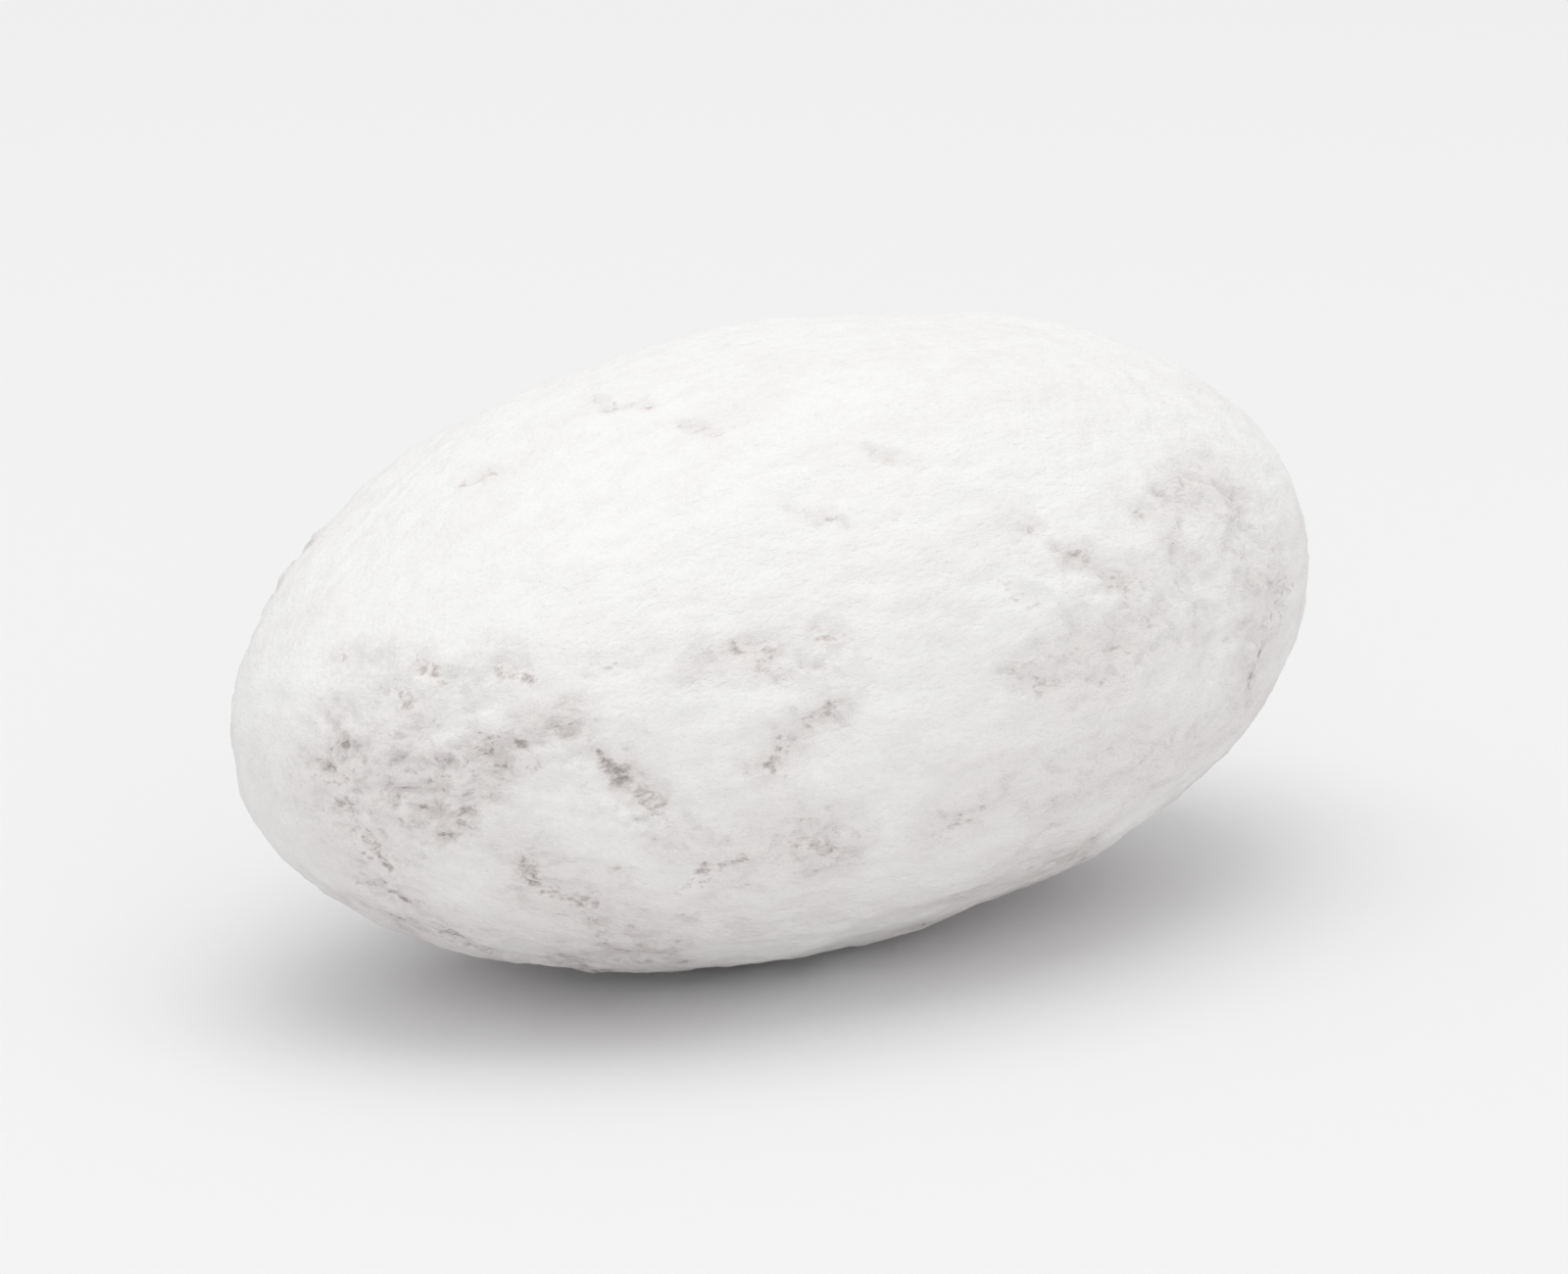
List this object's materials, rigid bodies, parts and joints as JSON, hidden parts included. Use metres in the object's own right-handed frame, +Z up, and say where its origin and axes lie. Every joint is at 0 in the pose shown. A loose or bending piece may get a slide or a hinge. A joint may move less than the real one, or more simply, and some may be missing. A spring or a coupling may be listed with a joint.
{
  "type": "powdered chocolate almond",
  "caption": "Whole almond in a thick chocolate coat, dusted all over with white icing sugar; a plump oval sweet that lies on a small flat spot.",
  "frame": {"origin": "middle of the almond's outline seen from above, at the height of the surface that it lies on", "axes": "+X along the almond towards its broader end, +Y across it, +Z up as it lies"},
  "size_m": [0.0324, 0.0186, 0.0155],
  "materials": {
    "icing_sugar": "fine white icing sugar, dead matt, greyer and slightly warm where it lies thin over the chocolate"
  },
  "bodies": {
    "root": {"powdered_almond": "icing_sugar"}
  },
  "joints": []
}
